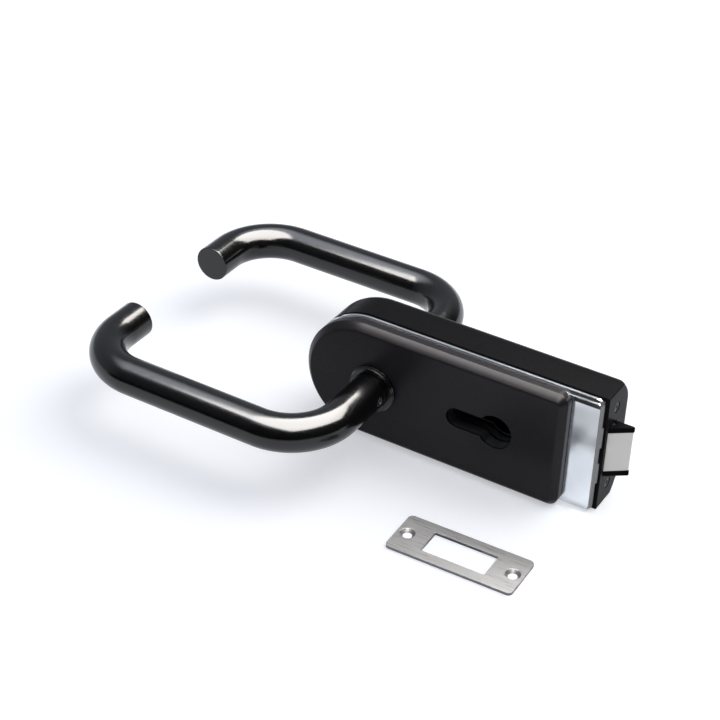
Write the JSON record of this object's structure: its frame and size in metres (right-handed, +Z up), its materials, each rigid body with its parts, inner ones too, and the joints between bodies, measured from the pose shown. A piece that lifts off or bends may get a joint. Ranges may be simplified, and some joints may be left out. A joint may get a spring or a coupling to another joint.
{
  "type": "partition door lock",
  "caption": "Black clamp-on lever lock for a frameless glass partition door, with U-shaped tube levers, a profile cylinder hole, a spring latch and its loose strike plate.",
  "frame": {"origin": "on the long lower edge that the lock stands on, below the lever axis and in the middle of the body's depth", "axes": "+X along the body towards the latch, +Y from the front (closing side) cover to the rear cover along the lever axis, +Z up"},
  "size_m": [0.2683, 0.1704, 0.064],
  "materials": {
    "black_coat": "satin",
    "polished_steel": "polished",
    "zinc_plate": "zinc plated",
    "satin_steel": "satin",
    "spring_steel": "drawn",
    "black_plastic": "matte",
    "grey_plastic": "matte",
    "pad_rubber": "matte"
  },
  "bodies": {
    "body": {"front_cover": "black_coat", "rear_cover": "black_coat", "front_collar": "black_coat", "rear_collar": "black_coat", "end_screw_upper": "black_coat", "end_screw_lower": "black_coat", "base_plate": "polished_steel", "cover_carrier": "zinc_plate", "case_lid": "zinc_plate", "lock_case": "zinc_plate", "clamp_screw_1": "zinc_plate", "clamp_screw_2": "zinc_plate", "clamp_screw_3": "zinc_plate", "clamp_screw_4": "zinc_plate", "clamp_screw_5": "zinc_plate", "lid_screw_1": "zinc_plate", "lid_screw_2": "zinc_plate", "lid_screw_3": "zinc_plate", "strike_plate": "satin_steel", "latch_spring_guide": "satin_steel", "return_spring": "spring_steel", "latch_spring": "spring_steel", "front_bush": "grey_plastic", "rear_bush": "grey_plastic", "front_glass_pad": "pad_rubber", "rear_glass_pad": "pad_rubber"},
    "lever": {"front_lever": "black_coat", "rear_lever": "black_coat", "front_end_cap": "black_coat", "rear_end_cap": "black_coat", "front_shank": "satin_steel", "rear_shank": "satin_steel", "front_grub_screw": "black_coat", "rear_grub_screw": "black_coat", "front_circlip": "spring_steel", "rear_circlip": "spring_steel", "spindle": "zinc_plate", "follower": "zinc_plate"},
    "latch": {"latch_bolt": "black_plastic", "latch_insert": "grey_plastic", "insert_pin": "satin_steel", "latch_slide": "zinc_plate", "latch_rivet_upper": "satin_steel", "latch_rivet_lower": "satin_steel"}
  },
  "joints": [
    {"name": "lever_turn", "type": "hinge", "parent": "body", "child": "lever", "pos_m": [0, 0, 0.032], "axis": [0, 1, 0], "range_deg": [0, 40], "stiffness_Nm_per_rad": 1.2, "springref_deg": -20.05, "deforming": ["return_spring"]},
    {"name": "latch_draw", "type": "slide", "parent": "body", "child": "latch", "axis": [1, 0, 0], "range_m": [-0.0105, 0], "stiffness_N_per_m": 150, "springref_m": 0.02, "deforming": ["latch_spring"]}
  ],
  "couplings": [
    {"joint": "latch_draw", "follows": "lever_turn", "m_per_rad": -0.015}
  ]
}
